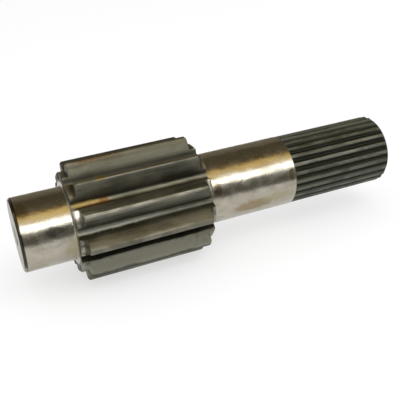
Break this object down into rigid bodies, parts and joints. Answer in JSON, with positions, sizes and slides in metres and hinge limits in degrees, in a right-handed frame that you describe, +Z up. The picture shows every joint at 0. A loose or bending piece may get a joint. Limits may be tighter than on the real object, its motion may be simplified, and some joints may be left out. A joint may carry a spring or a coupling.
{
  "type": "pinion shaft",
  "caption": "One-piece pinion shaft: a coarse spur pinion between two ground bearing journals, with an involute spline on the long end to take the drive.",
  "frame": {"origin": "on the shaft axis, at the middle of the pinion's face width", "axes": "+X along the axis from the short journal to the spline, +Z up through the middle of one pinion tooth, as the shaft lies on its two lowest teeth"},
  "size_m": [0.2069, 0.0626, 0.062],
  "materials": {
    "steel": "ground bright journals, darker oiled teeth and spline"
  },
  "bodies": {
    "root": {"pinion_shaft": "steel"}
  },
  "joints": []
}
